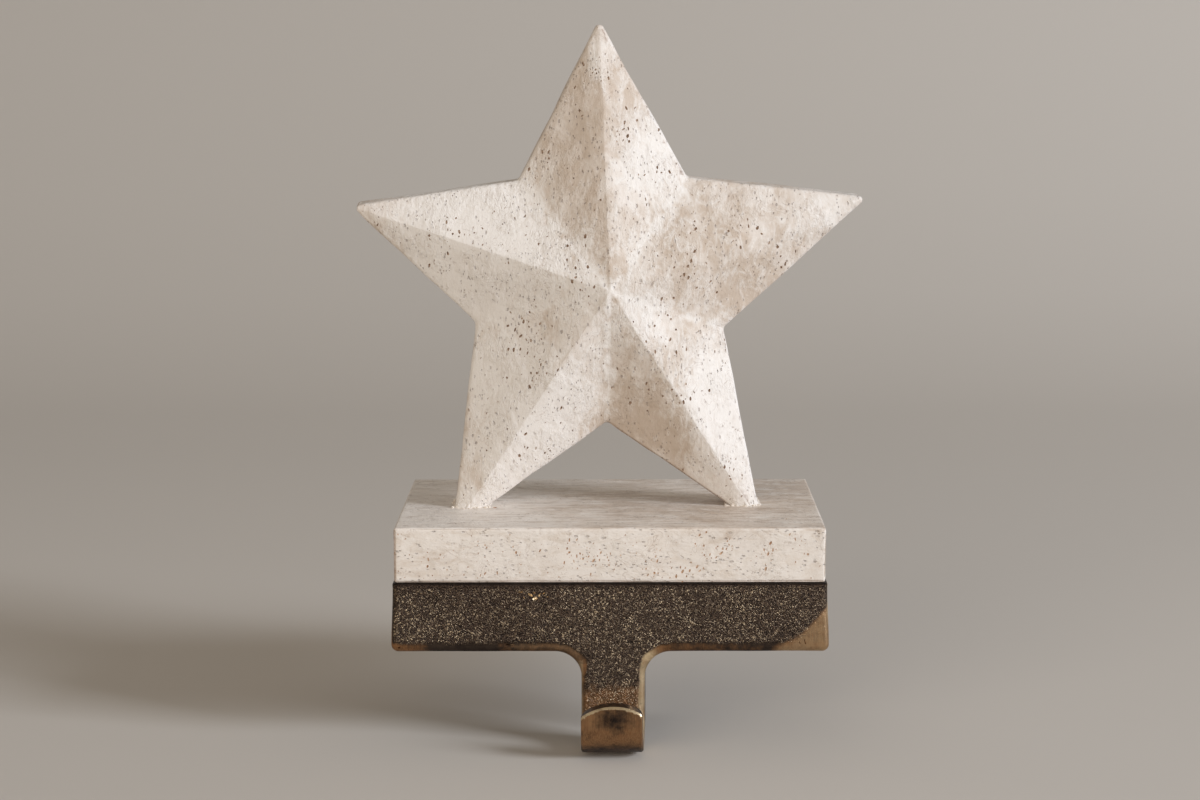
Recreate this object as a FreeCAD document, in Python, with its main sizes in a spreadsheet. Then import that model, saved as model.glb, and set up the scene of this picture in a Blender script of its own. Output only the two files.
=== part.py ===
import FreeCAD, Part
import Sketcher
import math
import os

# Mantel stocking holder: a carved stone star on a stone slab, over a cast brass hook bracket.
# Row frame: +Z up, the front faces -Y, and +X is to the right as seen from the front.
# z = 0 is the top of the mantel shelf, where the underside of the felt pad rests.

# Driving dimensions in millimetres, and angles in degrees
SIZES = {
    # Felt pad under the bracket
    "pad_thickness": 2.0,
    "pad_inset": 4.0,
    "pad_corner": 4.0,
    # Stone slab
    "slab_width": 150.0,
    "slab_depth": 90.0,
    "slab_height": 19.5,
    "slab_rounding": 1.2,
    # Cast bracket: a plate under the slab and an apron in front of the shelf
    "plate_thickness": 4.5,
    "plate_overhang": 1.4,
    "apron_proud": 1.0,
    "apron_thickness": 6.0,
    "apron_height": 24.6,
    "inner_corner": 2.0,
    "casting_draft": 2.9,
    "casting_rounding": 0.8,
    "hook_chamfer": 0.6,
    "filed_rounding": 2.2,
    "apron_corner": 2.6,
    # Stem below the apron, and the hook at its foot
    "stem_width": 22.5,
    "stem_offset": 1.2,
    "stem_corner": 9.0,
    "hook_thickness": 6.0,
    "hook_throat": 14.0,
    "hook_bend": 6.5,
    "hook_drop": 33.0,
    "lip_height": 19.3,
    "lip_shoulder": 0.9,
    "lip_slope": 34.0,
    # Star: an upright wall behind the facets, and a peak that stands in front of the wall
    "star_wall": 14.0,
    "star_back": 6.0,
    "star_relief": 18.0,
    "star_turn": 1.7,
    "star_rounding": 1.8,
    "peak_side": -0.4,
    "peak_height": 79.9,
    # Reach from the peak to each sharp corner, and its bearing from straight up, turning left
    "top_tip_reach": 94.0,
    "top_tip_bearing": 2.0,
    "top_left_valley_reach": 49.5,
    "top_left_valley_bearing": 40.2,
    "left_tip_reach": 96.4,
    "left_tip_bearing": 72.4,
    "left_valley_reach": 49.3,
    "left_valley_bearing": 105.0,
    "bottom_valley_reach": 49.2,
    "bottom_valley_bearing": 179.1,
    "right_valley_reach": 44.0,
    "right_valley_bearing": 249.6,
    "right_tip_reach": 97.9,
    "right_tip_bearing": 288.8,
    "top_right_valley_reach": 47.8,
    "top_right_valley_bearing": 324.1,
    # Sharp corners of the two legs, which lie below the slab's top and are sawn off there
    "left_leg_side": -57.3,
    "right_leg_side": 55.4,
    "leg_sawn_off": 8.8,
    # Dowels between the star's feet and the slab
    "pin_diameter": 4.0,
    "pin_grip": 8.0,
    "pin_chamfer": 0.4,
    "pin_inset": 7.5,
    # Countersunk screws from below the plate, into threaded inserts in the slab
    "screw_spacing": 60.0,
    "screw_diameter": 4.0,
    "screw_head": 7.6,
    "screw_length": 14.0,
    "countersink_slope": 45.0,
    "socket_width": 2.5,
    "socket_depth": 1.4,
    "insert_diameter": 6.5,
    "insert_length": 11.0,
    "insert_land": 2.5,
    "insert_glue_gap": 0.4,
    # Clearances, measured on the radius or along the axis
    "pin_clearance": 0.05,
    "thread_clearance": 0.05,
    "head_clearance": 0.05,
    "plate_hole_clearance": 0.25,
    "blind_clearance": 0.5,
}

# Star corners in order round the outline, turning left from the top
STAR_CORNERS = [
    "top_tip", "top_left_valley", "left_tip", "left_valley", "left_leg",
    "bottom_valley", "right_leg", "right_valley", "right_tip", "top_right_valley",
]

LEGS = ("left_leg", "right_leg")

# Faces that meet at less than this, in radians, count as one smooth surface.
SMOOTH_ANGLE = math.radians(10)

# Levels of the stack above the shelf
PLATE_TOP = "(Sizes.pad_thickness + Sizes.plate_thickness)"
SLAB_TOP = f"({PLATE_TOP} + Sizes.slab_height)"

# Planes of the bracket, from the front face back and from the apron down
PLATE_SIDE = "(Sizes.slab_width / 2 + Sizes.plate_overhang)"
PLATE_BACK = "(Sizes.slab_depth / 2)"
FRONT = "(-Sizes.slab_depth / 2 - Sizes.apron_proud)"
APRON_BACK = f"({FRONT} + Sizes.apron_thickness)"
APRON_BOTTOM = f"({PLATE_TOP} - Sizes.apron_height)"
LIP_BACK = f"({FRONT} - Sizes.hook_throat)"
LIP_FRONT = f"({LIP_BACK} - Sizes.hook_thickness)"
HOOK_BOTTOM = f"({APRON_BOTTOM} - Sizes.hook_drop)"
HOOK_FLOOR = f"({HOOK_BOTTOM} + Sizes.hook_thickness)"
BEND_START = f"({HOOK_FLOOR} + Sizes.hook_bend)"
OUTER_BEND = "(Sizes.hook_bend + Sizes.hook_thickness)"
LIP_TOP = f"({HOOK_BOTTOM} + Sizes.lip_height)"
LIP_ARCH = "((Sizes.stem_width / 2 - Sizes.lip_shoulder) / sin(Sizes.lip_slope))"
STEM_LEFT = "(Sizes.stem_offset - Sizes.stem_width / 2)"
STEM_RIGHT = "(Sizes.stem_offset + Sizes.stem_width / 2)"

# Places and holes of the fasteners
SIDES = ("left", "right")
SCREW_PLACE = {"left": "(-Sizes.screw_spacing / 2)", "right": "(Sizes.screw_spacing / 2)"}
PIN_SIDE = {
    "left": "(Sizes.left_leg_side + Sizes.pin_inset)",
    "right": "(Sizes.right_leg_side - Sizes.pin_inset)",
}
PIN_HOLE = "(Sizes.pin_diameter / 2 + Sizes.pin_clearance)"
BLIND_GRIP = "(Sizes.pin_grip + Sizes.blind_clearance)"
PLATE_HOLE = "(Sizes.screw_diameter / 2 + Sizes.plate_hole_clearance)"
COUNTERSINK = "(Sizes.screw_head / 2 + Sizes.plate_hole_clearance)"
SOCKET_SIDES = 6

doc = FreeCAD.newDocument("stocking_holder")
sheet = doc.addObject("Spreadsheet::Sheet", "Sizes")


def fill_sheet():
    """Writes each driving dimension into a cell and gives the cell its alias."""
    for row, (name, size) in enumerate(SIZES.items(), start=1):
        sheet.set(f"A{row}", name)
        sheet.set(f"B{row}", str(size))
        sheet.setAlias(f"B{row}", name)
    doc.recompute()


def value(expression):
    """The number that an expression on the sheet gives."""
    result = sheet.evalExpression(expression)
    return float(getattr(result, "Value", result))


# Shared ways of making sketches and features

FILLET, CHAMFER = "PartDesign::Fillet", "PartDesign::Chamfer"

def new_body(label):
    body = doc.addObject("PartDesign::Body", label)
    body.Label = label
    return body


def origin_item(body, role):
    """One of the body's own origin planes or axes."""
    return [item for item in body.Origin.OriginFeatures if item.Role == role][0]


def new_sketch(body, name, plane, offset="0"):
    """A sketch on an origin plane, moved by an expression along the plane's normal."""
    sketch = body.newObject("Sketcher::SketchObject", name)
    sketch.AttachmentSupport = [(origin_item(body, plane), "")]
    sketch.MapMode = "FlatFace"
    sketch.setExpression("AttachmentOffset.Base.z", offset)
    return sketch


def bind(sketch, kind, references, expression):
    """Adds a constraint whose size is an expression on the sheet."""
    index = sketch.addConstraint(Sketcher.Constraint(kind, *references, value(expression)))
    sketch.setExpression(f"Constraints[{index}]", expression)


def place_point(sketch, geometry, end, across, up):
    bind(sketch, "DistanceX", (-1, 1, geometry, end), across)
    bind(sketch, "DistanceY", (-1, 1, geometry, end), up)


def arc_at_corner(before, corner, after, radius):
    """Start, centre and end of the arc that rounds a corner."""
    back = (before - corner).normalize()
    ahead = (after - corner).normalize()
    half_angle = back.getAngle(ahead) / 2
    run = radius / math.tan(half_angle)
    centre = corner + (back + ahead).normalize() * (radius / math.sin(half_angle))
    return corner + back * run, centre, corner + ahead * run


def add_arc(sketch, start, centre, end, radius):
    """Adds the short arc between two points, and says which of its ends is the start."""
    first = math.atan2(start.y - centre.y, start.x - centre.x)
    last = math.atan2(end.y - centre.y, end.x - centre.x)
    turns_left = (last - first) % math.tau < math.pi
    if not turns_left:
        first, last = last, first
    circle = Part.Circle(centre, FreeCAD.Vector(0, 0, 1), radius)
    arc = sketch.addGeometry(Part.ArcOfCircle(circle, first, last), False)
    return arc, (1, 2) if turns_left else (2, 1)


def draw_outline(sketch, corners):
    """Draws a closed outline. Each corner is (across, up, radius), as expressions.

    A corner with no radius stays sharp. Each corner is a point tied to the sheet.
    """
    count = len(corners)
    points = [FreeCAD.Vector(value(across), value(up), 0) for across, up, _ in corners]
    radii = [value(radius) if radius else 0.0 for _, _, radius in corners]
    starts, centres, ends = [], [], []
    for index, corner in enumerate(points):
        before, after = points[index - 1], points[(index + 1) % count]
        start, centre, end = arc_at_corner(before, corner, after, radii[index])
        starts.append(start)
        centres.append(centre)
        ends.append(end)
    lines = [
        sketch.addGeometry(Part.LineSegment(ends[index], starts[(index + 1) % count]), False)
        for index in range(count)
    ]
    marks = [sketch.addGeometry(Part.Point(point), True) for point in points]
    for index, (across, up, radius) in enumerate(corners):
        line_in, line_out, mark = lines[index - 1], lines[index], marks[index]
        if radius:
            arc, (first, last) = add_arc(
                sketch, starts[index], centres[index], ends[index], radii[index])
            sketch.addConstraint([
                Sketcher.Constraint("PointOnObject", mark, 1, line_in),
                Sketcher.Constraint("PointOnObject", mark, 1, line_out),
                Sketcher.Constraint("Tangent", line_in, 2, arc, first),
                Sketcher.Constraint("Tangent", arc, last, line_out, 1),
            ])
            bind(sketch, "Radius", (arc,), radius)
        else:
            sketch.addConstraint([
                Sketcher.Constraint("Coincident", line_in, 2, mark, 1),
                Sketcher.Constraint("Coincident", line_out, 1, mark, 1),
            ])
        place_point(sketch, mark, 1, across, up)


def draw_circle(sketch, across, up, radius):
    centre = FreeCAD.Vector(value(across), value(up), 0)
    circle = sketch.addGeometry(
        Part.Circle(centre, FreeCAD.Vector(0, 0, 1), value(radius)), False)
    place_point(sketch, circle, 3, across, up)
    bind(sketch, "Radius", (circle,), radius)


def rectangle(left, right, low, high, radius=None):
    """Corners of an upright rectangle, as draw_outline reads them."""
    return [(left, low, radius), (right, low, radius), (right, high, radius), (left, high, radius)]


def feature(body, kind, name, sketch, length=None, reversed_way=False):
    """A sketch-based feature. With no length it runs through everything."""
    item = body.newObject(kind, name)
    item.Profile = sketch
    item.Reversed = reversed_way
    if length:
        item.setExpression("Length", length)
    else:
        item.Type = "ThroughAll"
    doc.recompute()
    return item


def revolve(body, name, sketch):
    """A full turn of a sketch about the body's own Z axis."""
    item = body.newObject("PartDesign::Revolution", name)
    item.Profile = sketch
    item.ReferenceAxis = (origin_item(body, "Z_Axis"), [""])
    item.Angle = 360
    doc.recompute()
    return item


def is_sharp(shape, edge):
    """Whether the two faces beside an edge meet at a corner that the eye sees."""
    middle = edge.valueAt((edge.FirstParameter + edge.LastParameter) / 2)
    normals = []
    for face in shape.ancestorsOfType(edge, Part.Face):
        try:
            normals.append(face.normalAt(*face.Surface.parameter(middle)))
        except Part.OCCError:
            # The pole of a ball-shaped corner has no normal, and is smooth.
            return False
    return len(normals) == 2 and normals[0].getAngle(normals[1]) > SMOOTH_ANGLE


def dress_edges(body, kind, name, size, wanted):
    """Rounds or chamfers the sharp edges of the body's tip whose boxes the test picks."""
    base = body.Tip
    names = [
        f"Edge{number}" for number, edge in enumerate(base.Shape.Edges, start=1)
        if is_sharp(base.Shape, edge) and wanted(edge.BoundBox)
    ]
    item = body.newObject(kind, name)
    item.Base = (base, names)
    item.setExpression("Radius" if kind == FILLET else "Size", size)
    doc.recompute()


def near(first, second, tolerance=0.02):
    return abs(first - second) < tolerance


# Carved star

def star_corner(name):
    """A sharp corner of the star, from the middle of the slab's top."""
    if name in LEGS:
        return f"Sizes.{name}_side", "-Sizes.leg_sawn_off", None
    reach, bearing = f"Sizes.{name}_reach", f"Sizes.{name}_bearing"
    return (
        f"Sizes.peak_side - {reach} * sin({bearing})",
        f"Sizes.peak_height + {reach} * cos({bearing})",
        None,
    )


def make_star():
    """A five-armed star whose ten facets rise from an upright wall to one peak."""
    body = new_body("star")
    corners = [star_corner(name) for name in STAR_CORNERS]
    wall_front = "(Sizes.star_wall - Sizes.star_back)"

    back = new_sketch(body, "star_back_outline", "XZ_Plane", "-Sizes.star_back")
    draw_outline(back, corners)
    feature(body, "PartDesign::Pad", "star_upright", back, "Sizes.star_wall")

    front = new_sketch(body, "star_front_outline", "XZ_Plane", wall_front)
    draw_outline(front, corners)
    peak = new_sketch(body, "star_peak", "XZ_Plane", f"{wall_front} + Sizes.star_relief")
    point = FreeCAD.Vector(value("Sizes.peak_side"), value("Sizes.peak_height"), 0)
    place_point(peak, peak.addGeometry(Part.Point(point), False), 1,
                "Sizes.peak_side", "Sizes.peak_height")
    doc.recompute()
    facets = body.newObject("PartDesign::AdditiveLoft", "star_facets")
    facets.Profile = front
    facets.Sections = [peak]
    facets.Ruled = True
    doc.recompute()

    # Rubbing down softens every arris, ridge and valley alike.
    dress_edges(body, FILLET, "star_softening", "Sizes.star_rounding", lambda box: True)

    # The two legs are sawn flat where they stand on the slab.
    below = new_sketch(body, "star_foot_line", "XY_Plane")
    draw_outline(below, rectangle("-Sizes.slab_width", "Sizes.slab_width",
                                  "-Sizes.slab_depth", "Sizes.slab_depth"))
    feature(body, "PartDesign::Pocket", "star_feet", below)

    holes = new_sketch(body, "star_pin_places", "XY_Plane")
    for side in SIDES:
        draw_circle(holes, PIN_SIDE[side], "0", PIN_HOLE)
    feature(body, "PartDesign::Pocket", "star_pin_holes", holes, BLIND_GRIP, reversed_way=True)

    body.setExpression("Placement.Base.z", SLAB_TOP)
    body.setExpression("Placement.Rotation.Angle", "Sizes.star_turn * 1 deg")
    return body


# Dowels, each upright in the slab and in one foot of the star

def pin_place(side, part):
    """Where a dowel stands on the slab once the star is turned; part is cos or sin."""
    return f"{PIN_SIDE[side]} * {part}(Sizes.star_turn)"


def make_pin(side):
    body = new_body(f"star_pin_{side}")
    profile = new_sketch(body, f"{side}_pin_profile", "XZ_Plane")
    radius, grip, chamfer = "Sizes.pin_diameter / 2", "Sizes.pin_grip", "Sizes.pin_chamfer"
    draw_outline(profile, [
        ("0", f"-{grip}", None),
        (f"{radius} - {chamfer}", f"-{grip}", None),
        (radius, f"{chamfer} - {grip}", None),
        (radius, f"{grip} - {chamfer}", None),
        (f"{radius} - {chamfer}", grip, None),
        ("0", grip, None),
    ])
    revolve(body, f"{side}_pin_turned", profile)
    body.setExpression("Placement.Base.x", pin_place(side, "cos"))
    body.setExpression("Placement.Base.y", pin_place(side, "sin"))
    body.setExpression("Placement.Base.z", SLAB_TOP)
    return body


# Stone slab

def make_slab():
    """A sawn slab with softened edges, blind dowel holes above and insert holes below."""
    body = new_body("base_slab")
    outline = new_sketch(body, "slab_outline", "XY_Plane")
    draw_outline(outline, rectangle("-Sizes.slab_width / 2", "Sizes.slab_width / 2",
                                    "-Sizes.slab_depth / 2", "Sizes.slab_depth / 2"))
    feature(body, "PartDesign::Pad", "slab_block", outline, "Sizes.slab_height")
    dress_edges(body, FILLET, "slab_edges", "Sizes.slab_rounding", lambda box: True)

    pins = new_sketch(body, "slab_pin_places", "XY_Plane", "Sizes.slab_height")
    for side in SIDES:
        draw_circle(pins, pin_place(side, "cos"), pin_place(side, "sin"), PIN_HOLE)
    feature(body, "PartDesign::Pocket", "slab_pin_holes", pins, BLIND_GRIP)

    inserts = new_sketch(body, "slab_insert_places", "XY_Plane")
    for side in SIDES:
        draw_circle(inserts, SCREW_PLACE[side], "0", "Sizes.insert_diameter / 2")
    feature(body, "PartDesign::Pocket", "slab_insert_holes", inserts,
            "Sizes.insert_length + Sizes.blind_clearance", reversed_way=True)

    body.setExpression("Placement.Base.z", PLATE_TOP)
    return body


# Cast bracket

def make_bracket():
    """One casting: the plate, the apron, and the stem that bends up into the hook."""
    body = new_body("hook_bracket")
    bend_hook(body)
    face = new_sketch(body, "apron_outline", "XZ_Plane", f"-{APRON_BACK}")
    draw_outline(face, rectangle(f"-{PLATE_SIDE}", PLATE_SIDE, APRON_BOTTOM, PLATE_TOP))
    feature(body, "PartDesign::Pad", "apron", face, "Sizes.apron_thickness")
    plate = new_sketch(body, "plate_outline", "XY_Plane", "Sizes.pad_thickness")
    draw_outline(plate, rectangle(f"-{PLATE_SIDE}", PLATE_SIDE, APRON_BACK, PLATE_BACK))
    feature(body, "PartDesign::Pad", "plate", plate, "Sizes.plate_thickness")
    drill_plate(body)
    soften_casting(body)
    return body


def bend_hook(body):
    """The stem and hook as one bent bar, whose right side draws in towards the lip."""
    bar_top = f"({APRON_BOTTOM} + Sizes.apron_thickness)"
    lip_stock = f"({LIP_TOP} + Sizes.hook_thickness)"
    bar = new_sketch(body, "hook_profile", "YZ_Plane", STEM_LEFT)
    draw_outline(bar, [
        (APRON_BACK, bar_top, None),
        (APRON_BACK, HOOK_BOTTOM, OUTER_BEND),
        (LIP_FRONT, HOOK_BOTTOM, OUTER_BEND),
        (LIP_FRONT, lip_stock, None),
        (LIP_BACK, lip_stock, None),
        (LIP_BACK, HOOK_FLOOR, "Sizes.hook_bend"),
        (FRONT, HOOK_FLOOR, "Sizes.hook_bend"),
        (FRONT, bar_top, None),
    ])
    feature(body, "PartDesign::Pad", "hook_bar", bar, "Sizes.stem_width")
    draw_in = f"({APRON_BACK} - {LIP_FRONT}) * tan(Sizes.casting_draft)"
    wedge = new_sketch(body, "hook_draft_outline", "XY_Plane", bar_top)
    draw_outline(wedge, [
        (STEM_RIGHT, APRON_BACK, None),
        (STEM_RIGHT, LIP_FRONT, None),
        (f"{STEM_RIGHT} - {draw_in}", LIP_FRONT, None),
    ])
    feature(body, "PartDesign::Pocket", "hook_draft", wedge)
    cut_lip_arch(body, lip_stock)


def cut_lip_arch(body, lip_stock):
    """Files the top of the lip to an arch that runs out in a short sloping shoulder each side."""
    arch = new_sketch(body, "lip_arch_outline", "XZ_Plane", f"-{FRONT} + Sizes.hook_throat / 2")
    apex = f"({LIP_TOP} + {LIP_ARCH} * (1 / cos(Sizes.lip_slope) - 1))"
    half_width = "(Sizes.stem_width / 2 + Sizes.casting_rounding)"
    shoulder = f"({apex} - {half_width} * tan(Sizes.lip_slope))"
    left = f"(Sizes.stem_offset - {half_width})"
    right = f"(Sizes.stem_offset + {half_width})"
    waste = f"({lip_stock} + Sizes.casting_rounding)"
    draw_outline(arch, [
        (left, shoulder, None),
        ("Sizes.stem_offset", apex, LIP_ARCH),
        (right, shoulder, None),
        (right, waste, None),
        (left, waste, None),
    ])
    feature(body, "PartDesign::Pocket", "lip_arch", arch,
            "Sizes.hook_throat + Sizes.hook_thickness", reversed_way=True)


def drill_plate(body):
    """Two countersunk holes, entered from under the plate."""
    places = new_sketch(body, "plate_hole_places", "XY_Plane", "Sizes.pad_thickness")
    sinks = new_sketch(body, "countersink_places", "XY_Plane", "Sizes.pad_thickness")
    for side in SIDES:
        draw_circle(places, SCREW_PLACE[side], "0", PLATE_HOLE)
        draw_circle(sinks, SCREW_PLACE[side], "0", COUNTERSINK)
    feature(body, "PartDesign::Pocket", "plate_holes", places,
            "Sizes.plate_thickness", reversed_way=True)
    cone = feature(body, "PartDesign::Pocket", "countersinks", sinks,
                   f"({COUNTERSINK} - {PLATE_HOLE}) / tan(Sizes.countersink_slope)",
                   reversed_way=True)
    cone.setExpression("TaperAngle", "-Sizes.countersink_slope")
    doc.recompute()


def soften_casting(body):
    """Rounds the casting's edges, most of all the filed one round the apron and the stem."""
    front, back, far = value(FRONT), value(APRON_BACK), value(PLATE_BACK)
    side, foot, seat = value(PLATE_SIDE), value(APRON_BOTTOM), value(PLATE_TOP)
    shelf, soft = value("Sizes.pad_thickness"), value("Sizes.casting_rounding")

    def in_stem_corner(box):
        across = (box.XMin + box.XMax) / 2
        return (near(box.YMin, front) and near(box.YMax, back)
                and near(box.ZMax, foot) and abs(across) < side / 2)

    def in_apron_corner(box):
        return (near(box.YMin, front) and near(box.YMax, back) and near(box.ZMax, foot)
                and (near(box.XMax, side) or near(box.XMin, -side)))

    def in_inner_corner(box):
        return near(box.YMin, back) and near(box.YMax, back) and near(box.ZMin, shelf)

    def in_filed_front(box):
        return near(box.YMin, front) and near(box.YMax, front) and box.ZMin < shelf

    def in_hook(box):
        return box.ZMin < foot - soft

    def in_plate_rim(box):
        on_outline = (near(box.XMax, side) or near(box.XMin, -side)
                      or near(box.YMax, far) or near(box.YMin, front))
        return on_outline and near(box.ZMax, seat)

    dress_edges(body, FILLET, "stem_corners", "Sizes.stem_corner", in_stem_corner)
    dress_edges(body, FILLET, "apron_corners", "Sizes.apron_corner", in_apron_corner)
    dress_edges(body, FILLET, "inner_rounding", "Sizes.inner_corner", in_inner_corner)
    dress_edges(body, FILLET, "filed_edge", "Sizes.filed_rounding", in_filed_front)
    dress_edges(body, CHAMFER, "hook_chamfers", "Sizes.hook_chamfer", in_hook)
    dress_edges(body, FILLET, "plate_softening", "Sizes.casting_rounding", in_plate_rim)


# Fasteners between the plate and the slab

def make_screw(side):
    """A countersunk socket screw whose head sits flush with the plate's underside."""
    body = new_body(f"slab_screw_{side}")
    profile = new_sketch(body, f"{side}_screw_profile", "XZ_Plane")
    head, shank = "(Sizes.screw_head / 2)", "(Sizes.screw_diameter / 2)"
    rim = "(Sizes.plate_hole_clearance - Sizes.head_clearance)"
    draw_outline(profile, [
        ("0", "0", None),
        (head, "0", None),
        (head, rim, None),
        (shank, f"{rim} + ({head} - {shank}) / tan(Sizes.countersink_slope)", None),
        (shank, "Sizes.screw_length", None),
        ("0", "Sizes.screw_length", None),
    ])
    revolve(body, f"{side}_screw_turned", profile)
    socket = new_sketch(body, f"{side}_socket_outline", "XY_Plane")
    half_side = 180 / SOCKET_SIDES
    reach = f"Sizes.socket_width / 2 / cos({half_side})"
    turns = [2 * half_side * corner for corner in range(SOCKET_SIDES)]
    draw_outline(socket, [
        (f"{reach} * cos({turn})", f"{reach} * sin({turn})", None) for turn in turns
    ])
    feature(body, "PartDesign::Pocket", f"{side}_socket", socket,
            "Sizes.socket_depth", reversed_way=True)
    body.setExpression("Placement.Base.x", SCREW_PLACE[side])
    body.setExpression("Placement.Base.z", "Sizes.pad_thickness")
    return body


def make_insert(side):
    """A threaded insert: a full-width land below, and a thinner sleeve set in glue above."""
    body = new_body(f"slab_insert_{side}")
    profile = new_sketch(body, f"{side}_insert_profile", "XZ_Plane")
    bore = "(Sizes.screw_diameter / 2 + Sizes.thread_clearance)"
    land = "(Sizes.insert_diameter / 2)"
    sleeve = f"({land} - Sizes.insert_glue_gap)"
    draw_outline(profile, [
        (bore, "0", None),
        (land, "0", None),
        (land, "Sizes.insert_land", None),
        (sleeve, "Sizes.insert_land", None),
        (sleeve, "Sizes.insert_length", None),
        (bore, "Sizes.insert_length", None),
    ])
    revolve(body, f"{side}_insert_turned", profile)
    body.setExpression("Placement.Base.x", SCREW_PLACE[side])
    body.setExpression("Placement.Base.z", PLATE_TOP)
    return body


# Felt pad

def make_pad():
    """A felt sheet under the plate, set in from the plate's edges."""
    body = new_body("mantel_pad")
    outline = new_sketch(body, "pad_outline", "XY_Plane")
    side = "(Sizes.slab_width / 2 - Sizes.pad_inset)"
    draw_outline(outline, rectangle(f"-{side}", side, f"{APRON_BACK} + Sizes.pad_inset",
                                    f"{PLATE_BACK} - Sizes.pad_inset", "Sizes.pad_corner"))
    feature(body, "PartDesign::Pad", "pad_sheet", outline, "Sizes.pad_thickness")
    return body


def check_and_write(bodies):
    """Writes one file per body, once nothing in the document has failed."""
    doc.recompute()
    for item in doc.Objects:
        if "Invalid" in item.State or "Error" in item.State:
            raise RuntimeError(f"{item.Label} failed: {item.State}")
    for body in bodies:
        if body.Shape.isNull() or not body.Shape.isValid() or len(body.Shape.Solids) != 1:
            raise RuntimeError(f"{body.Label} isn't one valid solid")
    os.makedirs("parts", exist_ok=True)
    for body in bodies:
        body.Shape.exportStep(f"parts/{body.Label}.step")


def main():
    fill_sheet()
    bodies = [make_star(), make_slab(), make_bracket(), make_pad()]
    for side in SIDES:
        bodies += [make_pin(side), make_screw(side), make_insert(side)]
    check_and_write(bodies)


main()
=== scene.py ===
import math
import random
from functools import partial

import bmesh
import bpy
from bpy.props import FloatProperty, FloatVectorProperty, IntProperty, PointerProperty
from mathutils import Matrix, Vector, noise
from mathutils.bvhtree import BVHTree


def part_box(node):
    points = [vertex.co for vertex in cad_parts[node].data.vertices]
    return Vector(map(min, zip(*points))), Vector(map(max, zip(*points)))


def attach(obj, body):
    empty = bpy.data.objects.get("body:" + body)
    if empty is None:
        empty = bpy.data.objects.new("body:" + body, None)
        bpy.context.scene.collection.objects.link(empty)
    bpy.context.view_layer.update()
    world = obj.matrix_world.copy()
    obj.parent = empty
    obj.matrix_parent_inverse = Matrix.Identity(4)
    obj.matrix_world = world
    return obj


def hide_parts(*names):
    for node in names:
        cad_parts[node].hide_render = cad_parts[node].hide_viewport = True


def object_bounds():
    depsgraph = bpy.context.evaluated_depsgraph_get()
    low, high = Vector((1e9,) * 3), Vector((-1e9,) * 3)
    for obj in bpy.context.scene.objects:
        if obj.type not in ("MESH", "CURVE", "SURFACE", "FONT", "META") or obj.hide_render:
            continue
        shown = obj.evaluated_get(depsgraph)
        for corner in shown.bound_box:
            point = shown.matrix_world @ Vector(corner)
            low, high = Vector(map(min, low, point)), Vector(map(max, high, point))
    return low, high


bl_info = {
    "name": "Mantel Stocking Holder",
    "version": (1, 0, 0),
    "blender": (4, 5, 0),
    "location": "View3D > Sidebar > Holder",
    "description": "Dresses a stone star stocking holder in travertine, antique brass and felt",
    "category": "Object",
}

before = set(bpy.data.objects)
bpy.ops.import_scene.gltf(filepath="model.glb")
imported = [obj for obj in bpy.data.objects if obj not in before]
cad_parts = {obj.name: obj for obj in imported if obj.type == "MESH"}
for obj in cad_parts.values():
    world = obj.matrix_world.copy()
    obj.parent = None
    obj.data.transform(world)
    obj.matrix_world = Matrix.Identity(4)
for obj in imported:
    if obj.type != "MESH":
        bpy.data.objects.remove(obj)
CAD_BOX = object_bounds()

MM = 0.001
SNAP = 0.0001 * MM
SHARP_EDGE = math.radians(35)
FRONT = Vector((0.0, -1.0, 0.0))

# noise_vector, which shapes the lumps, would take its offset from the clock without a seed
LUMP_SEED = 1795996391
noise.seed_set(LUMP_SEED)


# Colours and nodes

NOISE, CELLS, RANGE = "ShaderNodeTexNoise", "ShaderNodeTexVoronoi", "ShaderNodeMapRange"
MATH, MIX, BUMP = "ShaderNodeMath", "ShaderNodeMix", "ShaderNodeBump"
PLACE, TURN, PAINTED = "ShaderNodeTexCoord", "ShaderNodeMapping", "ShaderNodeAttribute"

SMOOTH = {"interpolation_type": "SMOOTHSTEP"}

# Numbers of the mixing node's colour sockets
FACTOR, UNDER, OVER, MIXED = 0, 6, 7, 2


def linear(code):
    """An sRGB hex colour, such as "E6DACB", as linear RGBA."""
    channels = [int(code[index:index + 2], 16) / 255 for index in (0, 2, 4)]
    return tuple(
        c / 12.92 if c <= 0.04045 else ((c + 0.055) / 1.055) ** 2.4 for c in channels
    ) + (1.0,)


def fill(tree, node, inputs):
    """Sets or links a node's inputs, each by its name or number."""
    for name, source in inputs.items():
        if isinstance(source, bpy.types.NodeSocket):
            tree.links.new(source, node.inputs[name])
        else:
            node.inputs[name].default_value = source


def add(tree, kind, inputs=None, output=0, **settings):
    """Adds a node with its settings and links, and gives one of its outputs."""
    node = tree.nodes.new(kind)
    for name, setting in settings.items():
        setattr(node, name, setting)
    fill(tree, node, inputs or {})
    return node.outputs[output]


def new_material(name):
    """A material with its node tree, its shader, and Object coordinates."""
    material = bpy.data.materials.new(name)
    material.use_nodes = True
    tree = material.node_tree
    return material, tree, tree.nodes["Principled BSDF"], add(tree, PLACE, output="Object")


# Meshes

def cad_copy(node):
    """A merged copy of a CAD node's mesh, as a bmesh to shape further."""
    shape = bmesh.new()
    shape.from_mesh(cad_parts[node].data)
    bmesh.ops.remove_doubles(shape, verts=shape.verts, dist=0.001 * MM)
    for face in shape.faces:
        face.material_index = 0
    return shape


def slice_flat(shape, place, direction):
    """Cuts new edges into a shape where a plane meets it, and gives them with their vertices."""
    return bmesh.ops.bisect_plane(
        shape, geom=shape.verts[:] + shape.edges[:] + shape.faces[:],
        dist=SNAP, plane_co=place, plane_no=direction)["geom_cut"]


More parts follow.
